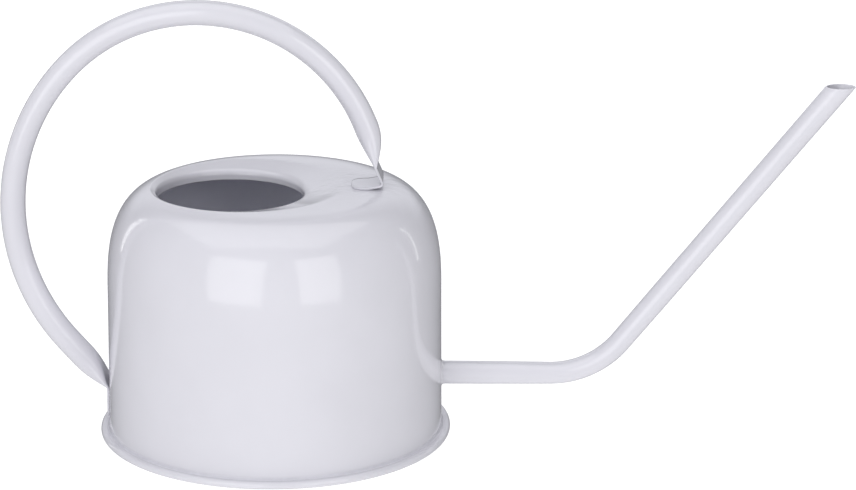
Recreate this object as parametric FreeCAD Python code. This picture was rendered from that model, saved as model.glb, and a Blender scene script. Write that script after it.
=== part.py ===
import FreeCAD, Part
import math
import os

# Indoor watering can in lacquered sheet steel: a drawn bell, a seamed base plate,
# a bent spout tube and a hoop handle whose flattened ends are welded on.
# Millimetres, +Z up. The origin is the centre of the seam ring that the can stands
# on. The spout points along +X, and the handle stands in the plane y = 0.

V = FreeCAD.Vector

# ---------------------------------------------------------------- sheet and seam
sheet = 0.6                  # thickness of the bell and of the base plate
base_diameter = 151.0        # over the rolled seam
seam_overhang = 3.7          # the seam stands out this far beyond the wall
seam_height = 3.1
hook_reach = 1.7             # flat part of the bell's flange inside the seam
hook_bend = 0.4              # bend radius where the wall turns into that flange
rim_gap = 0.5                # between the wall and the free edge of the rolled rim
panel_height = 3.6           # underside of the base panel above the floor
panel_corner = 1.2           # bend radius where the panel turns into its side
plate_clearance = 0.05       # base plate's side inside the wall

# ---------------------------------------------------------------- bell
body_height = 109.2          # top of the crown
wall_draft = 0.5             # the wall leans in by this much up to the shoulder
shoulder_start = 62.6        # height at which the wall starts to round over
shoulder_width = 29.9        # from the wall to the flat crown, seen from above
shoulder_power = 2.8         # 2 is an ellipse; more is squarer
shoulder_points = 9

# ---------------------------------------------------------------- filler mouth
mouth_offset = 18.6          # mouth's axis behind the can's axis, towards the handle
mouth_radius = 31.2          # clear radius inside the lip
mouth_dish = 2.8             # the rim lies this far below the crown
dish_slope = 15.0            # degrees; the dish falls towards the rim
dish_edge_radius = 6.0       # softens the dish's outer edge
lip_radius = 2.0             # outer bend radius of the turned-in lip
lip_depth = 4.0              # rim to the lip's lower edge

# ---------------------------------------------------------------- spout
spout_diameter = 10.0
spout_wall = 0.6
spout_height = 25.5          # axis of the level leg
spout_reach = 136.9          # can's axis to the corner of the spout's two legs
spout_rise = 51.6            # slope of the long leg, degrees above level
spout_bend_radius = 38.5
spout_tip_height = 153.5     # the tip is cut level at this height
spout_stub = 2.5             # the tube stands this far inside the wall
spout_hole_clearance = 0.05
braze_leg = 1.1              # size of the braze fillet round the spout

# ---------------------------------------------------------------- handle
handle_diameter = 11.0
handle_wall = 0.5
strap_thickness = 1.02       # the flattened tube, two walls thick
hand_gap = 39.2              # wall to the tube's centreline behind the can
front_offset = 1.9           # pinch of the front end beyond the crown's flat
front_height = 9.25          # pinch of the front end above the crown
front_angle = 8.0            # angle round the hoop at the front pinch, degrees
bow_angle = 136.0            # angle at which the hoop passes into its wider bow
straight_angle = 221.2       # angle at which the bow passes into the straight end
strap_fold_height = 19.9     # where the straight end meets the wall
neck_lean = 23.0             # slope of the flat neck above the front fold, off upright
strap_fold_radius = 1.4      # middle of the fold's thickness
front_strap_length = 13.6    # outside of the fold to the strap's free end
fold_lift = 0.9              # the front fold stands this far off the crown
lift_slope = 11.0            # degrees; the strap falls from the fold to the crown
side_strap_length = 14.2     # fold to the strap's free end
strap_tip_radius = 6.0
flare_length = 17.0          # over which the flattened end opens out to round
flare_power = 0.62           # under 1 opens out early
flare_sections = 6
smallest_hollow = 0.5        # the hollow inside a flattened end closes below this

# ---------------------------------------------------------------- spot welds
nugget_diameter = 4.0
nugget_thickness = 0.6
nugget_spacing = 8.0
nugget_inset = 4.6           # strap's free end to the nuggets' centres

# ---------------------------------------------------------------- worked out
base_radius = base_diameter / 2
wall_bottom_radius = base_radius - seam_overhang
wall_top_radius = wall_bottom_radius - wall_draft
crown_radius = wall_top_radius - shoulder_width
seam_roll = seam_height / 2
roll_centre = base_radius - seam_roll
hook_bottom = seam_roll - sheet / 2
hook_top = seam_roll + sheet / 2
wall_foot = hook_top + hook_bend
strap_width = math.pi * handle_diameter / 2 - strap_thickness * (math.pi / 2 - 1)
tall = 4 * body_height       # length of cutting tools that only have to be long


def rz(r, z):
    """A point of a profile in the half plane y = 0."""
    return V(r, 0, z)


def line(a, b):
    return Part.LineSegment(a, b).toShape()


def arc(centre, radius, start, end):
    """An arc in the plane y = 0 between two angles in degrees, measured from +X to +Z."""
    middle = (start + end) / 2
    points = [centre + radius * heading(angle) for angle in (start, middle, end)]
    return Part.Arc(*points).toShape()


def heading(angle):
    """The unit vector at this angle in the plane y = 0."""
    return V(math.cos(math.radians(angle)), 0, math.sin(math.radians(angle)))


def polyline(points):
    return [line(a, b) for a, b in zip(points, points[1:])]


def revolved(edges, axis_point=V(0, 0, 0)):
    """Turns a closed outline in the plane y = 0 a full turn about a vertical axis."""
    face = Part.Face(Part.Wire(edges))
    return Part.makeSolid(face.revolve(axis_point, V(0, 0, 1), 360))


def wall_radius(z):
    """Outer radius of the bell's wall, below its shoulder."""
    share = (z - wall_foot) / (shoulder_start - wall_foot)
    return wall_bottom_radius - wall_draft * share


# ---------------------------------------------------------------- bell
def shoulder(inset):
    """The rounded shoulder, from the wall to the crown, as one smooth curve."""
    width = shoulder_width - inset
    height = body_height - shoulder_start - inset
    power = 2 / shoulder_power
    points = []
    for i in range(shoulder_points):
        turn = math.pi / 2 * i / (shoulder_points - 1)
        across = abs(math.cos(turn)) ** power if i < shoulder_points - 1 else 0.0
        up = math.sin(turn) ** power if i else 0.0
        points.append(rz(crown_radius + width * across, shoulder_start + height * up))
    curve = Part.BSplineCurve()
    lean = V(wall_radius(shoulder_start) - wall_radius(wall_foot), 0, shoulder_start - wall_foot)
    curve.interpolate(Points=points, InitialTangent=lean, FinalTangent=V(-1, 0, 0))
    return curve.toShape()


def bell_side(inset):
    """Wall, shoulder and crown, from the wall's foot to the axis."""
    foot = rz(wall_bottom_radius - inset, wall_foot)
    knee = rz(wall_top_radius - inset, shoulder_start)
    crown = body_height - inset
    return [line(foot, knee), shoulder(inset), line(rz(crown_radius, crown), rz(0, crown))]


def bell_outside():
    """The bell's outer form as one block, with the flange that hooks into the seam."""
    bend = rz(wall_bottom_radius + hook_bend, wall_foot)
    tip = bend.x + hook_reach
    flange = polyline([rz(0, hook_bottom), rz(tip, hook_bottom), rz(tip, hook_top), rz(bend.x, hook_top)])
    bend_edge = arc(bend, hook_bend, 270, 180)
    axis = line(rz(0, body_height), rz(0, hook_bottom))
    return revolved(flange + [bend_edge] + bell_side(0) + [axis])


def bell_inside():
    """The bell's hollow as one block, open at the bottom."""
    bend = rz(wall_bottom_radius + hook_bend, wall_foot)
    floor = polyline([rz(0, 0), rz(bend.x, 0), rz(bend.x, hook_bottom)])
    bend_edge = arc(bend, hook_bend + sheet, 270, 180)
    axis = line(rz(0, body_height - sheet), rz(0, 0))
    return revolved(floor + [bend_edge] + bell_side(sheet) + [axis])


def dish_tool(drop):
    """What the dish round the mouth takes off: the space above a shallow cone."""
    slope = math.tan(math.radians(dish_slope))
    rim = body_height - mouth_dish - drop
    reach = 2 * mouth_dish / slope
    low = rz(0, rim)
    edge = rz(mouth_radius, rim)
    far = rz(mouth_radius + reach, rim + reach * slope)
    top = body_height + mouth_dish
    points = [low, edge, far, rz(far.x, top + reach), rz(0, top + reach), low]
    tool = revolved(polyline(points))
    tool.translate(V(-mouth_offset, 0, 0))
    return tool


def mouth_cylinder(radius, bottom):
    return Part.makeCylinder(radius, tall, V(-mouth_offset, 0, bottom))


def near_rim(edge, low, high, bottom):
    """True for an edge that stays between two distances from the mouth's axis and above a height."""
    points = edge.discretize(5)
    distances = [math.hypot(p.x + mouth_offset, p.y) for p in points]
    return min(distances) > low and max(distances) < high and edge.BoundBox.ZMin > bottom


def dished(block, drop, edge_radius):
    """Presses the dish round the mouth into the crown and rounds its outer edge."""
    rim = body_height - mouth_dish - drop
    reach = mouth_dish / math.tan(math.radians(dish_slope))
    block = block.cut(dish_tool(drop)).Solids[0]
    crest = [e for e in block.Edges if near_rim(e, mouth_radius + 0.2, mouth_radius + reach + 0.5, rim + 0.2)]
    return block.makeFillet(edge_radius, crest)


def lipped(block, radius, bottom, rim, bend):
    """Cuts the mouth through the crown and rounds its rim into the lip."""
    block = block.cut(mouth_cylinder(radius, bottom)).Solids[0]
    edge = [e for e in block.Edges if near_rim(e, radius - 0.05, radius + 0.05, rim - 0.5)]
    edge = [e for e in edge if e.BoundBox.ZMax - e.BoundBox.ZMin < 0.1]
    return block.makeFillet(bend, edge)


def bell():
    """The drawn bell with its dished filler mouth and turned-in lip."""
    rim = body_height - mouth_dish
    lip_end = rim - lip_depth
    outside = dished(bell_outside(), 0, dish_edge_radius)
    outside = lipped(outside, mouth_radius, lip_end - sheet, rim, lip_radius)
    inside = dished(bell_inside(), sheet, dish_edge_radius - sheet)
    inside = lipped(inside, mouth_radius + sheet, lip_end, rim - sheet, lip_radius - sheet)
    return outside.cut(inside).cut(mouth_cylinder(mouth_radius, lip_end - sheet))


# ---------------------------------------------------------------- base and seam
def base_plate():
    """Pressed disc: panel, side up inside the wall, and the rim rolled round the bell's flange."""
    side = wall_bottom_radius - sheet - plate_clearance
    foot_bend = hook_bend + sheet
    panel_top = panel_height + sheet
    under = rz(side - sheet + foot_bend, foot_bend)
    corner = rz(side - panel_corner, panel_top - panel_corner)
    roll = rz(roll_centre, seam_roll)
    free_edge = wall_bottom_radius + rim_gap
    edges = polyline([rz(0, panel_top), rz(corner.x, panel_top)])
    edges += [arc(corner, panel_corner, 90, 0), line(rz(side, corner.z), rz(side, under.z))]
    edges += [arc(under, foot_bend - sheet, 180, 270), line(rz(under.x, sheet), rz(roll.x, sheet))]
    edges += [arc(roll, seam_roll - sheet, -90, 90)]
    edges += polyline([
        rz(roll.x, seam_height - sheet),
        rz(free_edge, seam_height - sheet),
        rz(free_edge, seam_height),
        rz(roll.x, seam_height),
    ])
    edges += [arc(roll, seam_roll, 90, -90), line(rz(roll.x, 0), rz(under.x, 0))]
    edges += [arc(under, foot_bend, 270, 180), line(rz(side - sheet, under.z), rz(side - sheet, corner.z))]
    edges += [arc(corner, panel_corner - sheet, 0, 90)]
    edges += polyline([rz(corner.x, panel_height), rz(0, panel_height), rz(0, panel_top)])
    return revolved(edges)


def seam_sealant(shell, plate):
    """Compound that fills the rolled seam round the bell's flange, up to the rim's free edge."""
    side = wall_bottom_radius - sheet - plate_clearance
    in_wall = wall_bottom_radius - sheet / 2
    roll_inside = base_radius - sheet
    free_edge = wall_bottom_radius + rim_gap
    points = [
        rz(side, sheet),
        rz(roll_inside, sheet),
        rz(roll_inside, seam_height - sheet),
        rz(free_edge, seam_height - sheet),
        rz(free_edge, seam_height - sheet / 3),
        rz(in_wall, seam_height - sheet / 3),
        rz(in_wall, wall_foot),
        rz(side, wall_foot),
        rz(side, sheet),
    ]
    return revolved(polyline(points)).cut(shell).cut(plate)


# ---------------------------------------------------------------- spout
def spout_path():
    """Centre line: level leg, bend, then the slanting leg, run on past the tip."""
    rise = heading(spout_rise)
    tangent = spout_bend_radius * math.tan(math.radians(spout_rise / 2))
    start = V(wall_radius(spout_height) - sheet - spout_stub, 0, spout_height)
    corner = V(spout_reach, 0, spout_height)
    bend_start = corner - V(tangent, 0, 0)
    bend_end = corner + tangent * rise
    bend_centre = bend_start + V(0, 0, spout_bend_radius)
    run = (spout_tip_height - bend_end.z) / rise.z + spout_diameter
    bend = arc(bend_centre, spout_bend_radius, -90, spout_rise - 90)
    return Part.Wire([line(start, bend_start), bend, line(bend_end, bend_end + run * rise)])


def swept(path, radius):
    """A round bar along a path in the plane y = 0."""
    first = path.Edges[0]
    start = first.valueAt(first.FirstParameter)
    along = first.tangentAt(first.FirstParameter)
    circle = Part.Wire(Part.makeCircle(radius, start, along))
    return path.makePipeShell([circle], True, True)


def above_tip():
    corner = V(0, -spout_diameter, spout_tip_height)
    return Part.makeBox(tall, 2 * spout_diameter, spout_diameter * 4, corner)


def spout_tube():
    """Bent tube with its tip cut level."""
    path = spout_path()
    bore = swept(path, spout_diameter / 2 - spout_wall)
    return swept(path, spout_diameter / 2).cut(bore).cut(above_tip())


def spout_bar(radius, start, length):
    return Part.makeCylinder(radius, length, V(start, 0, spout_height), V(1, 0, 0))


def spout_braze(shell):
    """Braze fillet in the corner between the wall and the spout, following the wall round."""
    outer = spout_diameter / 2
    wall = wall_radius(spout_height)
    low = V(wall - 2, 0, spout_height + outer)
    high = V(wall - 2, 0, spout_height + outer + braze_leg)
    edge = V(wall, 0, spout_height + outer + braze_leg)
    toe = V(wall + braze_leg, 0, spout_height + outer)
    face = Part.Face(Part.Wire(polyline([low, high, edge, toe, low])))
    ring = Part.makeSolid(face.revolve(V(0, 0, spout_height), V(1, 0, 0), 360))
    return ring.cut(bell_outside())


# ---------------------------------------------------------------- handle
def handle_frame():
    """Hoop and bow as two arcs that touch, through both ends and behind the can.

    Returns the two centres, the two radii, and the front and lower ends.
    """
    front = V(crown_radius + front_offset, 0, body_height + front_height)
    low = V(-wall_radius(strap_fold_height) - strap_thickness / 2, 0, strap_fold_height)
    back = -wall_bottom_radius - hand_gap
    start = heading(front_angle)
    middle = heading(bow_angle)
    end = heading(straight_angle)
    # back of the bow:       a1 * hoop + b1 * bow = c1
    # straight through low:  a2 * hoop + b2 * bow = c2
    a1 = middle.x - start.x
    b1 = -(1 + middle.x)
    c1 = back - front.x
    a2 = (middle - start).dot(end)
    b2 = 1 - middle.dot(end)
    c2 = (low - front).dot(end)
    share = a1 * b2 - a2 * b1
    hoop = (c1 * b2 - c2 * b1) / share
    bow = (a1 * c2 - a2 * c1) / share
    hoop_centre = front - hoop * start
    bow_centre = hoop_centre + (hoop - bow) * middle
    return hoop_centre, bow_centre, hoop, bow, front, low


def half_height(share, full):
    """Half the tube's height in the plane of the hoop, from flattened (0) to round (1)."""
    flat = strap_thickness / 2
    return flat + (full - flat) * math.sin(math.pi / 2 * share ** flare_power) ** 2


def tube_ring(place, along, height, shrink):
    """Section across the tube: two half rounds joined by flats, with the girth of the round tube."""
    girth = math.pi * handle_diameter / 2
    width = girth - height * (math.pi - 2) - 2 * shrink
    high = height - shrink
    flat = width / 2 - high
    up = V(0, 1, 0).cross(along)
    side = V(0, 1, 0)
    if flat < 0.02:
        turn = 0.02
        points = []
        for angle in (math.pi / 2 - turn, 0, turn - math.pi / 2, -math.pi / 2):
            points.append(place + high * (math.cos(angle) * side + math.sin(angle) * up))
        for angle in (-math.pi / 2 - turn, math.pi, math.pi / 2 + turn, math.pi / 2):
            points.append(place + high * (math.cos(angle) * side + math.sin(angle) * up))
        right = Part.Arc(points[0], points[1], points[2]).toShape()
        under = Part.Arc(points[2], points[3], points[4]).toShape()
        left = Part.Arc(points[4], points[5], points[6]).toShape()
        over = Part.Arc(points[6], points[7], points[0]).toShape()
        return Part.Wire([right, under, left, over])
    top = place + high * up
    low = place - high * up
    right = Part.Arc(top + flat * side, place + (flat + high) * side, low + flat * side).toShape()
    left = Part.Arc(low - flat * side, place - (flat + high) * side, top - flat * side).toShape()
    under = line(low + flat * side, low - flat * side)
    over = line(top - flat * side, top + flat * side)
    return Part.Wire([right, under, left, over])


def flare(place_at, shrink):
    """One end of the tube, from its flattened end to round."""
    full = handle_diameter / 2
    rings = []
    for i in range(flare_sections + 1):
        share = i / flare_sections
        height = half_height(share, full)
        if 2 * (height - shrink) < smallest_hollow and shrink:
            continue
        place, along = place_at(share * flare_length)
        rings.append(tube_ring(place, along, height, shrink))
    return Part.makeLoft(rings, True, False)


def handle_bar(shrink):
    """The hoop between its two flattened ends, smaller all round by the shrink."""
    hoop_centre, bow_centre, hoop, bow, front, low = handle_frame()
    turn = math.degrees(flare_length / hoop)
    bow_end = bow_centre + bow * heading(straight_angle)
    down = heading(straight_angle + 90)
    straight = (low - bow_end).dot(down)

    def from_front(distance):
        angle = front_angle + math.degrees(distance / hoop)
        return hoop_centre + hoop * heading(angle), heading(angle + 90)

    def from_low(distance):
        if distance <= straight:
            return low - distance * down, down
        angle = straight_angle - math.degrees((distance - straight) / bow)
        return bow_centre + bow * heading(angle), heading(angle + 90)

    edges = [
        arc(hoop_centre, hoop, front_angle + turn, bow_angle),
        arc(bow_centre, bow, bow_angle, straight_angle),
    ]
    if straight > flare_length:
        edges.append(line(bow_end, low - flare_length * down))
    round_part = swept(Part.Wire(edges), handle_diameter / 2 - shrink)
    return round_part.fuse([flare(from_front, shrink), flare(from_low, shrink)])


def front_strap():
    """Flat neck, fold, and the strap that falls to the crown and lies on it."""
    half = strap_thickness / 2
    outer = strap_fold_radius + half
    inner = strap_fold_radius - half
    pinch = handle_frame()[4]
    across = half * heading(front_angle)
    out = heading(neck_lean)
    down = heading(neck_lean - 90)
    # The fold turns from the neck's slope to the strap's, about a centre above the crown.
    fold_end = lift_slope - 90
    centre_z = body_height + fold_lift + outer
    neck = (pinch.z - centre_z - strap_fold_radius * out.z) / -down.z
    fold_start = pinch + neck * down
    centre = fold_start - strap_fold_radius * out
    low = centre + outer * heading(fold_end)
    touch = low.x - (low.z - body_height) / math.tan(math.radians(lift_slope))
    crease = touch - strap_thickness * math.tan(math.radians(lift_slope / 2))
    tip_x = centre.x + outer - front_strap_length
    top = body_height + strap_thickness
    edges = [line(pinch - across, pinch + across), line(pinch + across, fold_start + half * out)]
    edges += [arc(centre, outer, neck_lean, fold_end)]
    edges += polyline([low, rz(touch, body_height), rz(tip_x, body_height), rz(tip_x, top), rz(crease, top)])
    edges += [line(rz(crease, top), centre + inner * heading(fold_end))]
    edges += [arc(centre, inner, fold_end, neck_lean), line(fold_start - half * out, pinch - across)]
    strap = extruded_wide(edges)
    tip = [e for e in strap.Edges if e.BoundBox.XMax < tip_x + 0.01]
    corners = [e for e in tip if e.BoundBox.ZMax - e.BoundBox.ZMin > half]
    return strap.makeFillet(strap_tip_radius, corners), tip_x


def extruded_wide(edges):
    """A strip as wide as the flattened tube, with this outline in the plane y = 0."""
    face = Part.Face(Part.Wire(edges))
    face.translate(V(0, -strap_width / 2, 0))
    return face.extrude(V(0, strap_width, 0))


def side_strap():
    """Fold and the strap that follows the wall down to just above the seam."""
    half = strap_thickness / 2
    low = handle_frame()[5]
    down = heading(straight_angle + 90)
    across = V(down.z, 0, -down.x)
    outer = -low.x + half
    bottom = low.z - side_strap_length
    wall_low = wall_radius(bottom)
    wall_high = wall_radius(low.z)
    face = Part.Face(Part.Wire(polyline([
        rz(wall_low, bottom),
        rz(wall_low + strap_thickness, bottom),
        rz(wall_high + strap_thickness, low.z),
        rz(wall_high, low.z),
        rz(wall_low, bottom),
    ])))
    spread = math.degrees(strap_width / 2 / outer)
    face.rotate(V(0, 0, 0), V(0, 0, 1), 180 - spread)
    strap = face.revolve(V(0, 0, 0), V(0, 0, 1), 2 * spread)
    end = [e for e in strap.Edges if e.BoundBox.ZMax < bottom + 0.01]
    corners = [e for e in end if e.BoundBox.YMax - e.BoundBox.YMin < half]
    strap = strap.makeFillet(strap_tip_radius, corners)
    fold = Part.makeCylinder(half, strap_width, V(low.x, -strap_width / 2, low.z), V(0, 1, 0))
    return strap.fuse(fold), bottom


def handle_tube(nuggets):
    """Hoop tube with both ends pressed flat and folded onto the can, hollow between them."""
    front, _ = front_strap()
    side, _ = side_strap()
    solid = handle_bar(0).fuse([front, side])
    solid = solid.cut(handle_bar(handle_wall))
    solid = solid.cut(bell_outside())
    return solid.cut(nuggets)


# ---------------------------------------------------------------- spot welds
def nugget(centre, axis):
    start = centre - nugget_thickness / 2 * axis
    return Part.makeCylinder(nugget_diameter / 2, nugget_thickness, start, axis)


def top_nuggets():
    """Two spot welds side by side between the crown and the front strap."""
    _, tip_x = front_strap()
    row = (-nugget_spacing / 2, nugget_spacing / 2)
    return [nugget(V(tip_x + nugget_inset, y, body_height), V(0, 0, 1)) for y in row]


def side_nuggets():
    """Two spot welds side by side between the wall and the lower strap."""
    _, bottom = side_strap()
    z = bottom + nugget_inset
    radius = wall_radius(z)
    spots = []
    for side in (-1, 1):
        angle = math.pi + side * nugget_spacing / 2 / radius
        axis = V(math.cos(angle), math.sin(angle), 0)
        spots.append(nugget(V(0, 0, z) + radius * axis, axis))
    return spots


# ---------------------------------------------------------------- assembly
def spout_hole():
    """Bore through the wall for the spout."""
    radius = spout_diameter / 2 + spout_hole_clearance
    return spout_bar(radius, wall_bottom_radius - 4 * spout_stub, 8 * spout_stub)


def export(name, solids):
    """Writes one sub-part; a single solid is written bare, several as one compound."""
    shape = solids[0] if len(solids) == 1 else Part.Compound(solids)
    shape.exportStep("parts/" + name + ".step")


def main():
    os.makedirs("parts", exist_ok=True)
    top = top_nuggets()
    side = side_nuggets()
    shell = bell().cut(spout_hole())
    plate = base_plate()
    export("base_plate", plate.Solids)
    export("seam_sealant", seam_sealant(shell, plate).Solids)
    export("body_shell", shell.cut(top + side).Solids)
    export("spout_tube", spout_tube().Solids)
    export("spout_braze", spout_braze(shell).Solids)
    export("handle_tube", handle_tube(top + side).Solids)
    export("top_strap_welds", top)
    export("side_strap_welds", side)


main()
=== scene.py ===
"""Looks of a small indoor watering can in lacquered sheet steel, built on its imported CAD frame."""

import math
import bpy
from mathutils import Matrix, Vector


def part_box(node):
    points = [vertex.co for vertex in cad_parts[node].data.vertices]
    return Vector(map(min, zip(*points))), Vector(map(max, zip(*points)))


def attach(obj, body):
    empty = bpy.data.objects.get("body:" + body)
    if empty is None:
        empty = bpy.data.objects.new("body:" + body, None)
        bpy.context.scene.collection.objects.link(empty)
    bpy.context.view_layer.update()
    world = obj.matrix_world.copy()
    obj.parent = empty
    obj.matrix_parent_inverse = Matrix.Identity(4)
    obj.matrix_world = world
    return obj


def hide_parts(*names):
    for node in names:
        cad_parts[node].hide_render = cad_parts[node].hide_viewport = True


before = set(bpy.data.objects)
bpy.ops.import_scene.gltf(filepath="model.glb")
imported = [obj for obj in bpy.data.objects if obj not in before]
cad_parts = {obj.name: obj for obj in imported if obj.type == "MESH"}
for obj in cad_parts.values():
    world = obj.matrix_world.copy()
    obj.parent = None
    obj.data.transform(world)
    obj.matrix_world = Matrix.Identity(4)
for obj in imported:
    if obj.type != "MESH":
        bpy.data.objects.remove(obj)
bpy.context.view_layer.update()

from types import SimpleNamespace

import bmesh
import bpy
from bpy.props import FloatProperty, FloatVectorProperty, IntProperty, PointerProperty
from mathutils import Matrix, Vector

bl_info = {
    "name": "Watering can",
    "version": (1, 0, 0),
    "blender": (4, 5, 0),
    "location": "3D View > Sidebar > Watering can",
    "description": "Builds a lacquered steel watering can round its CAD frame",
    "category": "Object",
}

MM = 0.001
QUARTER = math.pi / 2
LOW, HIGH = 0, 1
X, Z = 0, 2


def corner(node, end, axis):
    """One coordinate of a CAD node's box, at its lowest or its highest corner."""
    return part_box(node)[end][axis]


def linear(hex_code):
    """An sRGB hex colour as linear red, green, blue and alpha."""
    parts = [int(hex_code[i:i + 2], 16) / 255 for i in (0, 2, 4)]
    return tuple(
        c / 12.92 if c <= 0.04045 else ((c + 0.055) / 1.055) ** 2.4 for c in parts
    ) + (1.0,)


def length(name, description, default):
    """A length property, in metres."""
    return FloatProperty(
        name=name, description=description, default=default, unit="LENGTH", precision=5
    )


def degrees(name, description, default):
    """An angle property, with its default in degrees."""
    return FloatProperty(
        name=name, description=description, default=math.radians(default), subtype="ANGLE"
    )


def ratio(name, description, default):
    """A plain number property."""
    return FloatProperty(name=name, description=description, default=default)


def tint(name, description, hex_code):
    """A colour property, with its default as sRGB hex."""
    return FloatVectorProperty(
        name=name, description=description, default=linear(hex_code), subtype="COLOR", size=4
    )


# ---------------------------------------------------------------- sizes and colours
class BodySizes(bpy.types.PropertyGroup):
    """Sizes of the drawn bell and its seamed base."""

    sheet: length("Sheet", "Thickness of the steel", 0.6 * MM)
    base_radius: length("Base radius", "Outside of the rolled seam", corner("base_plate", HIGH, X))
    crown_height: length(
        "Crown height", "Top of the bell above the floor", corner("body_shell", HIGH, Z)
    )
    seam_overhang: length("Seam overhang", "From the wall out to the seam's outside", 3.7 * MM)
    seam_height: length("Seam height", "Height of the rolled seam", 3.1 * MM)
    seam_bend: length("Seam bend", "Outside bend where the plate turns under", 1.0 * MM)
    edge_gap: length("Edge gap", "Wall to the middle of the seam's free edge", 0.5 * MM)
    flange_bend: length("Flange bend", "Outside bend from the wall to its flange", 0.4 * MM)
    flange_width: length("Flange width", "Level part of the flange in the seam", 1.7 * MM)
    seal_cove: length("Seal cove", "Hollow of the compound between wall and seam", 1.0 * MM)
    wall_draft: length("Wall draft", "How far the wall leans in up to the shoulder", 0.5 * MM)
    shoulder_start: length("Shoulder start", "Height at which the wall rounds over", 62.6 * MM)
    shoulder_width: length("Shoulder width", "Wall to the flat crown, from above", 29.9 * MM)
    shoulder_power: ratio("Shoulder power", "2 is an ellipse, more is squarer", 2.8)
    mouth_offset: length("Mouth offset", "Mouth's axis behind the can's axis", 18.6 * MM)
    mouth_radius: length("Mouth radius", "Clear radius inside the lip", 31.2 * MM)
    mouth_dish: length("Mouth dish", "Depth of the rim below the crown", 2.8 * MM)
    dish_slope: degrees("Dish slope", "Fall of the dish towards the rim", 15)
    dish_blend: length("Dish blend", "Softness of the dish's outer edge", 0.32 * MM)
    lip_radius: length("Lip radius", "Bend of the turned-in lip", 2.8 * MM)
    lip_depth: length("Lip depth", "Rim to the lip's lower edge", 4.0 * MM)
    panel_height: length("Panel height", "Base panel's underside above the floor", 3.6 * MM)
    panel_bend: length("Panel bend", "Inside bend from the panel to its side", 0.6 * MM)
    panel_gap: length("Panel gap", "Inside of the wall to the plate's side", 0.05 * MM)
    segments: IntProperty(name="Segments", description="Steps round the can", default=240)


class SpoutSizes(bpy.types.PropertyGroup):
    """Sizes of the bent spout tube and its braze."""

    radius: length("Radius", "Outside of the tube", 5.0 * MM)
    wall: length("Wall", "Thickness of the tube", 0.6 * MM)
    start: length("Start", "Can's axis to the tube's inner end", corner("spout_tube", LOW, X))
    height: length("Height", "Axis of the level leg above the floor", 25.5 * MM)
    reach: length("Reach", "Can's axis to the corner of the two legs", 136.9 * MM)
    rise: degrees("Rise", "Slope of the long leg", 51.6)
    bend_radius: length("Bend radius", "Centre line of the bend", 38.5 * MM)
    bend_flat: ratio("Bend flattening", "Tube's height at the bend, as a share", 0.91)
    tip_height: length("Tip height", "Level of the cut tip", corner("spout_tube", HIGH, Z))
    braze: length("Braze", "Size of the braze fillet", 1.1 * MM)
    sides: IntProperty(name="Sides", description="Steps round the tube", default=48)


class HandleSizes(bpy.types.PropertyGroup):
    """Sizes of the hoop handle and its flattened ends."""

    radius: length("Radius", "Outside of the tube", 5.5 * MM)
    strap: length("Strap", "Thickness of the flattened tube", 1.02 * MM)
    hand_gap: length("Hand gap", "Wall to the tube's centre line behind the can", 39.2 * MM)
    front_offset: length("Front offset", "Front pinch beyond the crown's flat", 1.9 * MM)
    front_height: length("Front height", "Front pinch above the crown", 9.25 * MM)
    front_angle: degrees("Front angle", "Angle round the hoop at the front pinch", 8.0)
    bow_angle: degrees("Bow angle", "Where the hoop passes into its wider bow", 136.0)
    straight_angle: degrees("Straight angle", "Where the bow passes into the straight", 221.2)
    bend_flat: ratio("Bend flattening", "Tube's height round the hoop, as a share", 0.94)
    bow_flat: ratio("Bow flattening", "Tube's height at the straight, as a share", 0.99)
    flare: length("Flare", "Length over which the tube opens out to round", 17.0 * MM)
    flare_power: ratio("Flare power", "Under 1 opens out early", 0.62)
    neck_lean: degrees("Neck lean", "Slope of the neck above the front fold", 23.0)
    fold_radius: length("Fold radius", "Front fold, at the middle of its thickness", 1.4 * MM)
    fold_lift: length("Fold lift", "How far the front fold stands off the crown", 0.9 * MM)
    lift_slope: degrees("Lift slope", "Fall of the strap from its fold to the crown", 11.0)
    front_strap: length("Front strap", "Fold to the front strap's free end", 13.6 * MM)
    side_height: length("Side height", "Where the straight end meets the wall", 19.9 * MM)
    side_fold: length("Side fold", "Side fold, at the middle of its thickness", 2.24 * MM)
    side_strap: length("Side strap", "Fold to the side strap's free end", 14.2 * MM)
    tip_radius: length("Tip radius", "Rounded corners of a strap's free end", 6.0 * MM)
    sides: IntProperty(name="Sides", description="Steps round the tube", default=48)


class CanColours(bpy.types.PropertyGroup):
    """Colours of the finishes."""

    lacquer: tint("Lacquer", "Pale cool grey lacquer", "D9D8DE")
    inside: tint("Inside", "Primer grey inside the can", "EDEDF6")
    sealant: tint("Sealant", "Seam compound under its lacquer", "D3D2D9")
    weld: tint("Weld", "Heated steel", "8A8784")


class CanSettings(bpy.types.PropertyGroup):
    """All of the can's sizes and colours."""

    body: PointerProperty(type=BodySizes)
    spout: PointerProperty(type=SpoutSizes)
    handle: PointerProperty(type=HandleSizes)
    colours: PointerProperty(type=CanColours)


def settings():
    """The can's settings, kept on the scene."""
    return bpy.context.scene.watering_can


# ---------------------------------------------------------------- nodes and meshes
MATH = "ShaderNodeMath"
VECTOR_MATH = "ShaderNodeVectorMath"
RAMP = "ShaderNodeMapRange"
SEAM_MERGE = 0.002 * MM  # points closer than this are one
RING_VALUES = {
    "position": "FLOAT_VECTOR",
    "up": "FLOAT_VECTOR",
    "half_height": "FLOAT",
    "half_width": "FLOAT",
    "wrap": "FLOAT",
}


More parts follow.
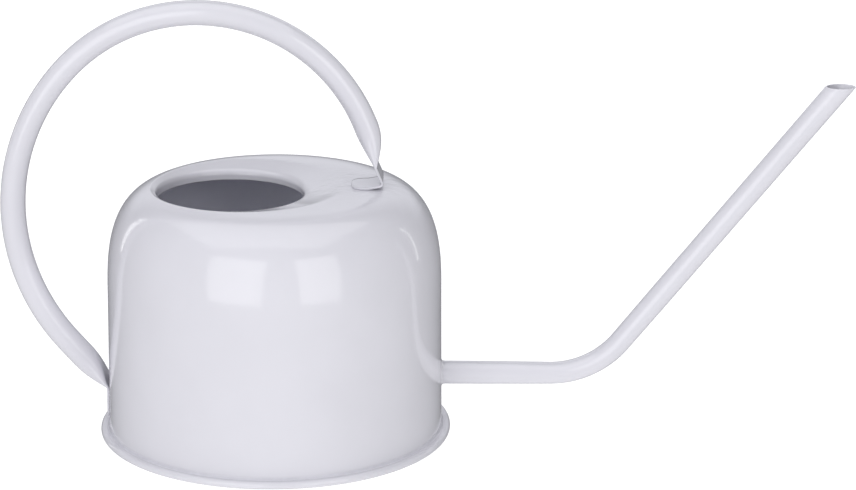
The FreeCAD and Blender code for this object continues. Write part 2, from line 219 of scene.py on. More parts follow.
def add(tree, kind, inputs=None, **node_settings):
    """Adds a node with its settings, and feeds its inputs with values, sockets or nodes.

    A node given as an input stands for its first output.
    """
    node = tree.nodes.new(kind)
    for name, value in node_settings.items():
        setattr(node, name, value)
    for key, value in (inputs or {}).items():
        if isinstance(value, bpy.types.Node):
            value = value.outputs[0]
        if isinstance(value, bpy.types.NodeSocket):
            tree.links.new(value, node.inputs[key])
        else:
            node.inputs[key].default_value = value
    return node


def new_group(name, sizes):
    """A Geometry Nodes group whose inputs are Geometry, these named sizes, and Material."""
    tree = bpy.data.node_groups.new(name, "GeometryNodeTree")
    sockets = {"Geometry": "NodeSocketGeometry", **sizes, "Material": "NodeSocketMaterial"}
    for label, kind in sockets.items():
        tree.interface.new_socket(label, in_out="INPUT", socket_type=kind)
    tree.interface.new_socket("Geometry", in_out="OUTPUT", socket_type="NodeSocketGeometry")
    return tree, add(tree, "NodeGroupInput").outputs


def finish_group(tree, mesh, given):
    """Joins seams and poles, shades smooth, and ends in real geometry with its material."""
    merged = add(tree, "GeometryNodeMergeByDistance", {"Geometry": mesh, "Distance": SEAM_MERGE})
    smooth = add(tree, "GeometryNodeSetShadeSmooth", {"Geometry": merged})
    real = add(tree, "GeometryNodeRealizeInstances", {"Geometry": smooth})
    final = add(
        tree, "GeometryNodeSetMaterial", {"Geometry": real, "Material": given["Material"]}
    )
    add(tree, "NodeGroupOutput", {"Geometry": final})


def rows_and_turns(tree, source, steps):
    """A grid with one row per point of the source mesh, and each grid point's row and turn."""
    size = add(tree, "GeometryNodeAttributeDomainSize", {"Geometry": source}, component="MESH")
    rows = size.outputs["Point Count"]
    around = add(tree, MATH, {0: steps, 1: 1.0}, operation="ADD")
    grid = add(
        tree, "GeometryNodeMeshGrid",
        {"Size X": 1.0, "Size Y": 1.0, "Vertices X": rows, "Vertices Y": around},
    )
    # The grid is a metre square round the origin, so half a metre is added on both axes.
    place = add(tree, "ShaderNodeSeparateXYZ", {0: add(tree, "GeometryNodeInputPosition")})
    along = add(tree, MATH, {0: place.outputs["X"], 1: 0.5}, operation="ADD")
    last = add(tree, MATH, {0: rows, 1: 1.0}, operation="SUBTRACT")
    row = add(tree, MATH, {0: along, 1: last, 2: 0.5}, operation="MULTIPLY_ADD")
    whole = add(tree, MATH, {0: row}, operation="FLOOR")
    share = add(tree, MATH, {0: place.outputs["Y"], 1: 0.5}, operation="ADD")
    turn = add(tree, MATH, {0: share, 1: math.tau}, operation="MULTIPLY")
    return grid, whole, turn


def turned(tree, given):
    """The profile in the plane y = 0, turned round the vertical axis."""
    profile = given["Geometry"]
    grid, row, turn = rows_and_turns(tree, profile, given["Segments"])
    point = add(
        tree, "GeometryNodeSampleIndex",
        {"Geometry": profile, "Value": add(tree, "GeometryNodeInputPosition"), "Index": row},
        data_type="FLOAT_VECTOR", domain="POINT",
    )
    spun = add(
        tree, "ShaderNodeVectorRotate", {"Vector": point, "Angle": turn}, rotation_type="Z_AXIS"
    )
    return add(tree, "GeometryNodeSetPosition", {"Geometry": grid, "Position": spun})


def turned_group():
    """A closed section, turned into a ring or a plate."""
    tree, given = new_group("turned sheet", {"Segments": "NodeSocketInt"})
    finish_group(tree, turned(tree, given), given)
    return tree


def bell_group(sizes):
    """Turns the bell, slides its crown rings over to the mouth, and presses the dish into it."""
    sockets = {"Segments": "NodeSocketInt", **dict.fromkeys(sizes, "NodeSocketFloat")}
    tree, given = new_group("drawn bell", sockets)
    whole = turned(tree, given)

    # Crown rings slide towards the mouth: all the way at the lip, not at all at the press limit.
    here = add(tree, "ShaderNodeSeparateXYZ", {0: add(tree, "GeometryNodeInputPosition")})
    x, y, z = here.outputs
    level = add(tree, "ShaderNodeCombineXYZ", {"X": x, "Y": y, "Z": 0.0})
    ring = add(tree, VECTOR_MATH, {0: level}, operation="LENGTH").outputs["Value"]
    rings = {"Value": ring, "From Min": given["Mouth radius"], "From Max": given["Press limit"]}
    slide = add(tree, RAMP, {**rings, "To Min": given["Mouth offset"], "To Max": 0.0})
    slid = add(tree, MATH, {0: x, 1: slide}, operation="SUBTRACT")
    moved = add(tree, "ShaderNodeCombineXYZ", {"X": slid, "Y": y, "Z": 0.0})
    true_ring = add(tree, VECTOR_MATH, {0: moved}, operation="LENGTH").outputs["Value"]

    # The dome's height: a superellipse outside the flat crown.
    past = add(tree, MATH, {0: true_ring, 1: given["Flat radius"]}, operation="SUBTRACT")
    part = add(tree, MATH, {0: past, 1: given["Shoulder width"]}, operation="DIVIDE")
    share = add(tree, "ShaderNodeClamp", {"Value": part})
    power = given["Shoulder power"]
    used = add(tree, MATH, {0: share, 1: power}, operation="POWER")
    left = add(tree, MATH, {0: 1.0, 1: used}, operation="SUBTRACT")
    root = add(tree, MATH, {0: 1.0, 1: power}, operation="DIVIDE")
    lift = add(tree, MATH, {0: left, 1: root}, operation="POWER")
    heights = {0: lift, 1: given["Shoulder rise"], 2: given["Shoulder start"]}
    dome = add(tree, MATH, heights, operation="MULTIPLY_ADD")

    # The lower of dome and dish, with a soft edge between them.
    pressed_z = add(tree, MATH, {0: z, 1: dome, 2: given["Blend"]}, operation="SMOOTH_MIN")
    target = add(tree, "ShaderNodeCombineXYZ", {"X": slid, "Y": y, "Z": pressed_z})
    crown = add(
        tree, "FunctionNodeCompare", {0: z, 1: given["Press floor"]},
        data_type="FLOAT", operation="GREATER_THAN",
    )
    bell = add(
        tree, "GeometryNodeSetPosition",
        {"Geometry": whole, "Selection": crown, "Position": target},
    )
    finish_group(tree, bell, given)
    return tree


def tube_group():
    """Lays rings along a spine. Each ring is a half round, a flat, a half round and a flat."""
    sizes = {"Sides": "NodeSocketInt", "Flat spread": "NodeSocketFloat"}
    tree, given = new_group("pressed tube", sizes)
    spine = given["Geometry"]
    grid, row, turn = rows_and_turns(tree, spine, given["Sides"])
    ring = {}
    for name, data_type in RING_VALUES.items():
        stored = add(tree, "GeometryNodeInputNamedAttribute", {"Name": name}, data_type=data_type)
        ring[name] = add(
            tree, "GeometryNodeSampleIndex", {"Geometry": spine, "Value": stored, "Index": row},
            data_type=data_type, domain="POINT",
        )
    half_height, half_width = ring["half_height"], ring["half_width"]
    sine = add(tree, MATH, {0: turn}, operation="SINE")
    cosine = add(tree, MATH, {0: turn}, operation="COSINE")
    # Downwards first, so that the faces point outwards.
    fall = add(tree, MATH, {0: sine, 1: -1.0}, operation="MULTIPLY")
    high = add(tree, MATH, {0: half_height, 1: fall}, operation="MULTIPLY")
    flat = add(tree, MATH, {0: half_width, 1: half_height}, operation="SUBTRACT")
    spread = add(tree, MATH, {0: cosine, 1: given["Flat spread"]}, operation="MULTIPLY")
    side = add(tree, "ShaderNodeClamp", {"Value": spread, "Min": -1.0, "Max": 1.0})
    rounded = add(tree, MATH, {0: half_height, 1: cosine}, operation="MULTIPLY")
    wide = add(tree, MATH, {0: flat, 1: side, 2: rounded}, operation="MULTIPLY_ADD")
    raised = add(tree, VECTOR_MATH, {0: ring["up"], "Scale": high}, operation="SCALE")
    moved = add(tree, VECTOR_MATH, {0: ring["position"], 1: raised}, operation="ADD")
    # A strap that lies on the wall follows it round.
    squared = add(tree, MATH, {0: wide, 1: wide}, operation="MULTIPLY")
    curl = add(tree, MATH, {0: squared, 1: ring["wrap"]}, operation="MULTIPLY")
    across = add(tree, "ShaderNodeCombineXYZ", {"X": curl, "Y": wide, "Z": 0.0})
    place = add(tree, VECTOR_MATH, {0: moved, 1: across}, operation="ADD")
    laid = add(tree, "GeometryNodeSetPosition", {"Geometry": grid, "Position": place})
    finish_group(tree, laid, given)
    return tree


def spine_object(name, points, values=None):
    """An object whose mesh is a row of points, with values stored on them."""
    mesh = bpy.data.meshes.new(name)
    mesh.from_pydata([tuple(p) for p in points], [], [])
    for key, numbers in (values or {}).items():
        vector = RING_VALUES[key] == "FLOAT_VECTOR"
        layer = mesh.attributes.new(key, RING_VALUES[key], "POINT")
        flat = [c for v in numbers for c in v] if vector else numbers
        layer.data.foreach_set("vector" if vector else "value", flat)
    return linked(name, mesh)


def linked(name, data):
    """A new object in the scene."""
    obj = bpy.data.objects.new(name, data)
    bpy.context.scene.collection.objects.link(obj)
    return obj


def evaluated_mesh(obj):
    """The object's mesh with its modifiers run, as a plain mesh."""
    bpy.context.view_layer.update()
    depsgraph = bpy.context.evaluated_depsgraph_get()
    mesh = bpy.data.meshes.new_from_object(obj.evaluated_get(depsgraph), depsgraph=depsgraph)
    mesh.name = obj.name
    obj.modifiers.clear()
    return mesh


def baked(obj, tree, inputs, sheet=0.0, lining=None):
    """Runs a group on an object, gives the surface its sheet, and keeps the plain mesh."""
    modifier = obj.modifiers.new("shape", "NODES")
    modifier.node_group = tree
    for item in tree.interface.items_tree:
        if item.in_out == "INPUT" and item.name in inputs:
            modifier[item.identifier] = inputs[item.name]
    obj.data = evaluated_mesh(obj)
    if sheet:
        obj.data.materials.append(lining)
        wall = obj.modifiers.new("sheet", "SOLIDIFY")
        wall.thickness = sheet
        wall.offset = -1
        wall.use_even_offset = True
        wall.material_offset = 1
        obj.data = evaluated_mesh(obj)


def bent_tube(name, spine, sides, flat_spread, steel):
    """A tube along its spine. A larger spread puts more of its steps on the round edges."""
    tube = spine_object(name, spine.points, spine.values)
    inputs = {"Sides": sides, "Flat spread": flat_spread, "Material": steel}
    baked(tube, tube_group(), inputs)
    return tube


def stand_in(obj, slot, *nodes):
    """Puts a finished piece on the can in place of its CAD nodes."""
    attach(obj, "root")
    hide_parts(*nodes)


def dress(obj, material):
    """Gives a CAD node its finish."""
    if not obj.material_slots:
        obj.data.materials.append(material)
    for slot in obj.material_slots:
        slot.material = material


# ---------------------------------------------------------------- the bell and the base
PRESS_SHARE = 0.7  # of the shoulder's width that the dish's press reaches over


def heading(angle):
    """The unit vector at this angle, from +X to +Z."""
    return Vector((math.cos(angle), 0, math.sin(angle)))


def arc_points(centre, radius, start, end, steps):
    """Points on an arc in the plane y = 0, both ends included."""
    return [
        centre + radius * heading(start + (end - start) * i / steps)
        for i in range(steps + 1)
    ]


def run(start, end, steps):
    """Points along a straight run, without its last one."""
    return [start.lerp(end, i / steps) for i in range(steps)]


def wall_foot(body):
    """Radius and height at which the wall turns out into the flange."""
    height = body.seam_height / 2 + body.sheet / 2 + body.flange_bend
    return body.base_radius - body.seam_overhang, height


def wall_radius(body, z):
    """Outer radius of the wall at a height."""
    radius, foot = wall_foot(body)
    return radius - body.wall_draft * (z - foot) / (body.shoulder_start - foot)


def crown_radius(body):
    """Radius of the crown's flat."""
    return body.base_radius - body.seam_overhang - body.wall_draft - body.shoulder_width


def press_limit(body):
    """Radius beyond which the crown's rings are round the can's own axis."""
    return crown_radius(body) + PRESS_SHARE * body.shoulder_width


def bell_profile(body):
    """The bell's outer line, from the lip's lower edge over the crown and down to the flange."""
    slope = body.dish_slope
    rim = body.crown_height - body.mouth_dish
    lip = body.lip_radius
    # The lip's bend touches both the dish's slope and the mouth's upright wall.
    lip_centre_z = rim - lip * (1 / math.cos(slope) - math.tan(slope))
    centre = Vector((body.mouth_radius + lip, 0, lip_centre_z))
    low = Vector((body.mouth_radius, 0, rim - body.lip_depth))
    points = run(low, Vector((body.mouth_radius, 0, centre.z)), steps=6)
    points += arc_points(centre, lip, math.pi, QUARTER + slope, steps=12)
    top = points[-1]
    crown = crown_radius(body)
    limit = press_limit(body)
    outer = Vector((limit, 0, top.z + (limit - top.x) * math.tan(slope)))
    points += run(top, outer, steps=58)[1:]
    # The shoulder's superellipse and the wall.
    rise = body.crown_height - body.shoulder_start
    width = body.shoulder_width
    first = math.acos(((limit - crown) / width) ** (body.shoulder_power / 2))
    steps = 44
    for i in range(steps):
        turn = first * (1 - i / steps)
        across = math.cos(turn) ** (2 / body.shoulder_power)
        up = math.sin(turn) ** (2 / body.shoulder_power)
        points.append(Vector((crown + width * across, 0, body.shoulder_start + rise * up)))
    radius, foot = wall_foot(body)
    bend = body.flange_bend
    shoulder = Vector((crown + width, 0, body.shoulder_start))
    points += run(shoulder, Vector((radius, 0, foot)), steps=14)
    points += arc_points(Vector((radius + bend, 0, foot)), bend, math.pi, 3 * QUARTER, steps=4)
    points.append(points[-1] + Vector((body.flange_width, 0, 0)))
    return points


def plate_profile(body):
    """The base plate's closed section, from its axis out round the rolled seam and back."""
    sheet = body.sheet
    bend = body.seam_bend
    inside = body.panel_bend
    outside = inside + sheet
    side = body.base_radius - body.seam_overhang - sheet - body.panel_gap
    top = body.panel_height + sheet
    under = Vector((side - sheet + bend, 0, bend))
    edge = Vector((side - outside, 0, top - outside))
    roll = Vector((body.base_radius - body.seam_height / 2, 0, body.seam_height / 2))
    free_edge = Vector((
        body.base_radius - body.seam_overhang + body.edge_gap, 0, body.seam_height - sheet / 2
    ))
    axis_low = Vector((0, 0, body.panel_height))
    axis_high = Vector((0, 0, top))
    points = run(axis_low, Vector((edge.x, 0, body.panel_height)), steps=12)
    points += arc_points(edge, inside, QUARTER, 0, steps=5)
    points += arc_points(under, bend, 2 * QUARTER, 3 * QUARTER, steps=6)
    points += arc_points(roll, roll.z, -QUARTER, QUARTER, steps=18)
    points += arc_points(free_edge, sheet / 2, QUARTER, 3 * QUARTER, steps=6)
    points += arc_points(roll, roll.z - sheet, QUARTER, -QUARTER, steps=10)
    points += arc_points(under, bend - sheet, 3 * QUARTER, 2 * QUARTER, steps=4)
    points += arc_points(edge, outside, 0, QUARTER, steps=6)
    points += run(Vector((edge.x, 0, top)), axis_high, steps=12)[1:]
    points.append(axis_high)
    return points[::-1]


def seal_profile(body):
    """Closed section of the compound that shows: a hollow fillet between wall and seam."""
    radius, _ = wall_foot(body)
    top = body.seam_height
    cove = body.seal_cove
    bury = 0.1 * MM  # into the steel on both sides
    depth = 0.4 * MM  # down behind the seam's free edge
    thin_edge = 0.02 * MM  # where the hollow runs out on the steel
    inner = radius - bury
    centre = Vector((radius + cove + bury, 0, top + cove))
    points = [Vector((inner, 0, top - depth)), Vector((radius + cove, 0, top - bury))]
    points += arc_points(centre, cove + thin_edge, 3 * QUARTER, 2 * QUARTER, steps=8)
    points += [Vector((inner, 0, top + cove)), points[0]]
    return points


# ---------------------------------------------------------------- the tubes
FLARE_STEPS = 22
# Millimetres from a strap's free end, close together where its edge and corners round off.
TIP_STEPS = [0.0, 0.02, 0.08, 0.17, 0.3, 0.45, 0.62, 0.9, 1.3, 1.9, 2.7, 3.7, 4.8, 6.0]


class Spine:
    """The rings of a pressed tube, with the values that give each its place and section."""

    def __init__(self):
        self.points = []
        self.values = {"up": [], "half_height": [], "half_width": [], "wrap": []}

    def add(self, point, *values, wrap=0.0):
        """One more ring, with its up, half height and half width. Wrap curls it round the can."""
        self.points.append(point)
        for kept, value in zip(self.values.values(), (*values, wrap)):
            kept.append(value)


def spout_line(spout):
    """Points and directions along the spout's axis, with the tube's height there as a share."""
    tangent = spout.bend_radius * math.tan(spout.rise / 2)
    inner_end = Vector((spout.start, 0, spout.height))
    bend_start = Vector((spout.reach - tangent, 0, spout.height))
    centre = bend_start + Vector((0, 0, spout.bend_radius))
    bend_end = Vector((spout.reach, 0, spout.height)) + tangent * heading(spout.rise)
    leg = (spout.tip_height - bend_end.z) / math.sin(spout.rise)
    tip = bend_end + heading(spout.rise) * leg
    loss = 1 - spout.bend_flat
    stops = []
    # The squash grows along the level leg, from a trace of it at the wall.
    trace = 0.15
    steps = 20
    for i in range(steps):
        share = i / steps
        squash = 1 - loss * (trace + (1 - trace) * share ** 2)
        stops.append((inner_end.lerp(bend_start, share), 0.0, squash))
    steps = 24
    for i in range(steps):
        angle = spout.rise * i / steps
        place = centre + spout.bend_radius * heading(angle - QUARTER)
        stops.append((place, angle, spout.bend_flat))
    # A third of it is gone a fifth of the way up the long leg, and the rest by the tip.
    early, early_share = 0.35, 0.2
    steps = 36
    for i in range(steps + 1):
        share = i / steps
        regained = early * min(1.0, share / early_share) + (1 - early) * share ** 1.5
        squash = min(1.0, spout.bend_flat + loss * regained)
        stops.append((bend_end.lerp(tip, share), spout.rise, squash))
    return stops


def spout_spine(spout):
    """Out along the tube's outside, in at the level-cut tip, and back along its bore."""
    spine = Spine()
    stops = spout_line(spout)
    inner = spout.radius - spout.wall
    half = spout.wall / 2
    widening = 0.9  # of the height lost at the bend, gained in width
    slants = (0.55, 0.9)  # of the tip's cut, in the two rings before it
    steps = 6
    rim = [math.pi * i / steps for i in range(steps + 1)]

    def ring(stop, radius, forward=0.0, cut=0.0):
        place, angle, squash = stop
        along = heading(angle)
        up = heading(angle + QUARTER)
        slant = up - cut / math.tan(angle) * along if cut else up
        lost = spout.radius * (1 - squash)
        spine.add(place + forward * along, slant, radius - lost, radius + lost * widening)

    for stop in stops[:-3]:
        ring(stop, spout.radius)
    for cut, stop in zip(slants, stops[-3:-1]):
        ring(stop, spout.radius, cut=cut)
    for turn in rim:
        out, forward = half * math.cos(turn), half * math.sin(turn)
        ring(stops[-1], inner + half + out, forward - half, 1.0)
    for cut, stop in zip(slants[::-1], stops[-2:-4:-1]):
        ring(stop, inner, cut=cut)
    for stop in reversed(stops[:-3]):
        ring(stop, inner)
    ring(stops[0], spout.radius)
    return spine


def braze_ring(body, spout):
    """A hollow fillet between the tube and the wall, a little uneven as brazed by hand."""
    mesh = bmesh.new()
    around = 72
    across = 8
    # In the fillet's own size: out from the wall, and up from the tube.
    into_wall, into_tube = -0.3, -0.05
    turns = [QUARTER * j / across for j in range(across + 1)]
    section = [(1 - math.sin(turn), 1 - math.cos(turn)) for turn in turns]
    section += [(into_wall, 1.0), (into_wall, into_tube), (1.0, into_tube)]
    # Waves round the tube, where each starts, and its height.
    waves = ((3, 0.6, 0.07), (7, 0.0, 0.05), (13, 2.0, 0.03))
    rings = []
    for i in range(around):
        turn = math.tau * i / around
        uneven = sum(height * math.sin(count * turn + start) for count, start, height in waves)
        leg = spout.braze * (1 + uneven)
        ring = []
        for out, rise in section:
            radius = spout.radius + leg * rise
            y = radius * math.cos(turn)
            z = spout.height + radius * math.sin(turn)
            wall = math.sqrt(wall_radius(body, z) ** 2 - y ** 2)
            ring.append(mesh.verts.new((wall + leg * out, y, z)))
        rings.append(ring)
    count = len(section)
    for i in range(around):
        here, there = rings[i], rings[(i + 1) % around]
        for j in range(count):
            k = (j + 1) % count
            mesh.faces.new((here[j], there[j], there[k], here[k]))
    bmesh.ops.recalc_face_normals(mesh, faces=mesh.faces)
    for face in mesh.faces:
        face.smooth = True
    data = bpy.data.meshes.new("braze")
    mesh.to_mesh(data)
    mesh.free()
    return linked("braze", data)


def hoop_frame(body, handle):
    """Centres and radii of the hoop and of the bow behind it, and the handle's two ends."""
    front = Vector((
        crown_radius(body) + handle.front_offset, 0, body.crown_height + handle.front_height
    ))
    wall = wall_radius(body, handle.side_height)
    low = Vector((-wall - handle.strap / 2, 0, handle.side_height))
    back = -(body.base_radius - body.seam_overhang) - handle.hand_gap
    start = heading(handle.front_angle)
    middle = heading(handle.bow_angle)
    end = heading(handle.straight_angle)
    # The arcs touch. One equation sets the back of the bow, the other the straight's low end.
    system = Matrix((
        (middle.x - start.x, -(1 + middle.x)),
        ((middle - start).dot(end), 1 - middle.dot(end)),
    ))
    hoop, bow = system.inverted() @ Vector((back - front.x, (low - front).dot(end)))
    hoop_centre = front - hoop * start
    return SimpleNamespace(
        front=front, low=low, hoop=hoop, bow=bow, hoop_centre=hoop_centre,
        bow_centre=hoop_centre + (hoop - bow) * middle,
    )


def pressed(handle, share, round_high):
    """Half height and half width, from pressed flat (0) to round (1), with the girth kept."""
    flat = handle.strap / 2
    full = handle.radius * round_high
    opened = math.sin(QUARTER * min(1.0, share) ** handle.flare_power) ** 2
    high = flat + (full - flat) * opened
    girth = math.pi * handle.radius
    return high, (girth - high * (math.pi - 2)) / 2


def strap_end(handle, distance):
    """Half height and half width this far from a strap's rounded free end."""
    high, wide = pressed(handle, 0.0, 1.0)
    edge = handle.strap / 2
    thick = math.sqrt(max(0.0, 1 - (1 - min(1.0, distance / edge)) ** 2))
    tip = handle.tip_radius
    past = max(0.0, tip - distance)
    return high * thick, wide - tip + math.sqrt(max(0.0, tip ** 2 - past ** 2))


def flare_stops(flare):
    """Distances along a flare, closer together near its pinch."""
    crowding = 1.4
    return [flare * (i / FLARE_STEPS) ** crowding for i in range(FLARE_STEPS + 1)]


def handle_spine(body, handle):
    """The whole handle, from its front strap's free end round the hoop to its side strap's."""
    spine = Spine()
    loop = hoop_frame(body, handle)
    lay_front_strap(spine, body, handle, loop.front)
    lay_hoop(spine, handle, loop)
    lay_side_strap(spine, body, handle, loop)
    return spine


def lay_front_strap(spine, body, handle, pinch):
    """Flat on the crown, up the slope to the fold, then the neck up to the pinch."""
    half = handle.strap / 2
    radius = handle.fold_radius
    outer = radius + half
    slope = handle.lift_slope
    lean = handle.neck_lean
    section = pressed(handle, 0.0, 1.0)
    # The fold's underside clears the crown by its lift, and the neck leaves it at its lean.
    centre_z = body.crown_height + handle.fold_lift + outer
    down = heading(lean - QUARTER)
    neck = (pinch.z - centre_z - radius * math.sin(lean)) / -down.z
    centre = pinch + neck * down - radius * heading(lean)
    # The crease is where the slope's underside reaches the crown.
    drop = centre.z - outer * math.cos(slope) - body.crown_height
    crease_x = centre.x + outer * math.sin(slope) - drop / math.tan(slope)
    flat_z = body.crown_height + half
    tip_x = centre.x + outer - handle.front_strap
    for step in TIP_STEPS:
        place = Vector((tip_x + step * MM, 0, flat_z))
        spine.add(place, heading(QUARTER), *strap_end(handle, step * MM))
    crease = Vector((crease_x - half * math.tan(slope / 2), 0, flat_z))
    spine.add(crease, heading(QUARTER + slope / 2), *section)
    for place in run(crease, centre + radius * heading(slope - QUARTER), steps=4)[1:]:
        spine.add(place, heading(QUARTER + slope), *section)
    steps = 14
    for i in range(steps + 1):
        angle = slope - QUARTER + (lean + QUARTER - slope) * i / steps
        spine.add(centre + radius * heading(angle), -heading(angle), *section)
    steps = 5
    for i, place in enumerate(run(spine.points[-1], pinch, steps)[1:]):
        angle = lean + (handle.front_angle - lean) * (i + 1) / steps
        spine.add(place, -heading(angle), *section)


def lay_hoop(spine, handle, loop):
    """Opens out to round, then runs round the hoop and the wider bow behind it."""
    sweep = (handle.bow_angle - handle.front_angle) * loop.hoop
    flare = handle.flare
    steps = 56
    stops = [flare + (sweep - flare) * i / steps for i in range(1, steps)]
    for distance in flare_stops(flare) + stops:
        angle = handle.front_angle + distance / loop.hoop
        section = pressed(handle, distance / flare, handle.bend_flat)
        spine.add(loop.hoop_centre + loop.hoop * heading(angle), -heading(angle), *section)
    # The bow is less tightly bent, so it is rounder.
    steps = 40
    for i in range(steps):
        share = i / steps
        angle = handle.bow_angle + (handle.straight_angle - handle.bow_angle) * share
        ease = share * share * (3 - 2 * share)
        roundness = handle.bend_flat + (handle.bow_flat - handle.bend_flat) * ease
        section = pressed(handle, 1.0, roundness)
        spine.add(loop.bow_centre + loop.bow * heading(angle), -heading(angle), *section)


def lay_side_strap(spine, body, handle, loop):
    """The straight that closes down to the wall, its fold, and the strap down the wall."""
    low = loop.low
    flare = handle.flare
    fold = handle.side_fold
    along = heading(handle.straight_angle + QUARTER)
    up = -heading(handle.straight_angle)
    begin = loop.bow_centre + loop.bow * heading(handle.straight_angle)
    turn = handle.straight_angle - math.pi
    trim = fold * math.tan(turn / 2)
    wrap = 1 / (2 * wall_radius(body, handle.side_height))
    for place in run(begin, low - flare * along, steps=5):
        spine.add(place, up, *pressed(handle, 1.0, handle.bow_flat))
    for distance in reversed(flare_stops(flare)):
        if distance >= trim:
            share = (distance - trim) / (flare - trim)
            section = pressed(handle, share, handle.bow_flat)
            spine.add(low - distance * along, up, *section, wrap=wrap * (1 - share) ** 2)
    section = pressed(handle, 0.0, 1.0)
    centre = low - trim * along - fold * up
    steps = 8
    for i in range(1, steps + 1):
        angle = handle.straight_angle - turn * i / steps
        spine.add(centre - fold * heading(angle), -heading(angle), *section, wrap=wrap)
    # The strap lies against the leaning wall.
    lean = body.wall_draft / (body.shoulder_start - wall_foot(body)[1])
    down = Vector((-lean, 0, -1)).normalized()
    last = spine.points[-1]
    last_up = spine.values["up"][-1]
    reach = handle.side_strap - trim
    steps = 8
    for i in range(1, steps):
        distance = (reach - TIP_STEPS[-1] * MM) * i / steps
        spine.add(last + distance * down, last_up, *section, wrap=wrap)
    for step in reversed(TIP_STEPS):
        section = strap_end(handle, step * MM)
        spine.add(last + (reach - step * MM) * down, last_up, *section, wrap=wrap)


# ---------------------------------------------------------------- finishes
def new_material(name):
    """An empty node material: the material, its node tree and its Object coordinates."""
    material = bpy.data.materials.new(name)
    material.use_nodes = True
    tree = material.node_tree
    tree.nodes.clear()
    return material, tree, add(tree, "ShaderNodeTexCoord").outputs["Object"]


def end_material(tree, inputs):
    """Ends a material in a Principled shader with these inputs."""
    shader = add(tree, "ShaderNodeBsdfPrincipled", inputs)
    add(tree, "ShaderNodeOutputMaterial", {"Surface": shader})


def mottled(tree, place, size, detail, low, high):
    """Soft random patches of about this size, spread between two values."""
    cloud = add(
        tree, "ShaderNodeTexNoise", {"Vector": place, "Scale": 1 / size, "Detail": detail},
        noise_dimensions="3D",
    )
    # Most of the noise lies between 0.3 and 0.7.
    limits = {"From Min": 0.3, "From Max": 0.7, "To Min": low, "To Max": high}
    return add(tree, RAMP, {"Value": cloud, **limits})


def uneven_colour(tree, place, colour, size, detail, low, high):
    """The colour, with patches a little darker and lighter."""
    patches = mottled(tree, place, size, detail, low, high)
    return add(tree, "ShaderNodeHueSaturation", {"Value": patches, "Color": colour})


def rippled(tree, place, size, detail, height, under=None, near=None):
    """Random ripples of this size and height, over those under them, and only near a place."""
    ripples = add(
        tree, "ShaderNodeTexNoise", {"Vector": place, "Scale": 1 / size, "Detail": detail},
        noise_dimensions="3D",
    )
    if near:
        ripples = add(tree, MATH, {0: ripples, 1: near}, operation="MULTIPLY")
    inputs = {"Height": ripples, "Strength": 1.0, "Distance": height}
    if under:
        inputs["Normal"] = under
    return add(tree, "ShaderNodeBump", inputs)


def lacquered_steel(name, colour, peel=0.9 * MM, wave=14 * MM, wave_height=0.03 * MM, pucker=None):
    """Sprayed and baked lacquer on drawn sheet steel.

    It gives the eye a pale cool grey with clear, slightly soft reflections. The spray leaves a
    fine orange peel, and the sheet under it is a little wavy, so long highlights wander. Round
    the pucker point the heat of the spot welds has pulled the sheet into shallow dents.
    """
    material, tree, place = new_material(name)
    relief = rippled(tree, place, wave, 1.0, wave_height)
    if pucker:
        away = add(tree, VECTOR_MATH, {0: place, 1: pucker}, operation="DISTANCE")
        fading = {"From Min": 12 * MM, "From Max": 30 * MM, "To Min": 1.0, "To Max": 0.0}
        near = add(tree, RAMP, {"Value": away.outputs["Value"], **fading})
        relief = rippled(tree, place, 7 * MM, 2.0, 0.4 * MM, under=relief, near=near)
    relief = rippled(tree, place, peel, 1.5, 0.0035 * MM, under=relief)
    end_material(tree, {
        "Base Color": uneven_colour(tree, place, colour, 28 * MM, 3.0, 0.985, 1.012),
        "Roughness": mottled(tree, place, 6 * MM, 2.0, 0.13, 0.18),
        "IOR": 1.5,
        "Coat Weight": 0.4,
        "Coat Roughness": 0.05,
        "Coat IOR": 1.5,
        "Normal": relief,
        "Coat Normal": relief,
    })
    return material


def primed_inside(colour):
    """Sprayed primer on the inside of the bell: thin and dull, so it is a flat mid grey."""
    material, tree, place = new_material("primed inside")
    end_material(tree, {
        "Base Color": uneven_colour(tree, place, colour, 20 * MM, 3.0, 0.97, 1.03),
        "Roughness": mottled(tree, place, 4 * MM, 2.0, 0.45, 0.55),
        "IOR": 1.5,
        "Normal": rippled(tree, place, 0.9 * MM, 2.0, 0.006 * MM),
    })
    return material


def sealing_compound(colour):
    """Rubber seam compound under lacquer: a soft, slightly lumpy fillet between wall and seam."""
    material, tree, place = new_material("sealing compound")
    end_material(tree, {
        "Base Color": uneven_colour(tree, place, colour, 3 * MM, 3.0, 0.96, 1.02),
        "Roughness": 0.3,
        "IOR": 1.5,
        "Normal": rippled(tree, place, 3 * MM, 3.0, 0.05 * MM),
    })
    return material


def weld_steel(colour):
    """Fused mild steel of a spot weld: a dull, pitted metal with darker patches."""
    material, tree, place = new_material("spot weld steel")
    end_material(tree, {
        "Base Color": uneven_colour(tree, place, colour, 1.2 * MM, 4.0, 0.7, 1.1),
        "Roughness": mottled(tree, place, 1.2 * MM, 4.0, 0.35, 0.6),
        "Metallic": 1.0,
        "Normal": rippled(tree, place, 0.5 * MM, 2.0, 0.02 * MM),
    })
    return material


def opal_acrylic():
    """Polished opal acrylic of a light table: even white that glows a little from below."""
    material, tree, place = new_material("opal acrylic")
    end_material(tree, {
        "Base Color": uneven_colour(tree, place, linear("A0A0A0"), 300 * MM, 2.0, 0.998, 1.002),
        "Roughness": 0.12,
        "IOR": 1.49,
        "Emission Color": linear("FFFFFF"),
        "Emission Strength": 0.79,
    })
    return material


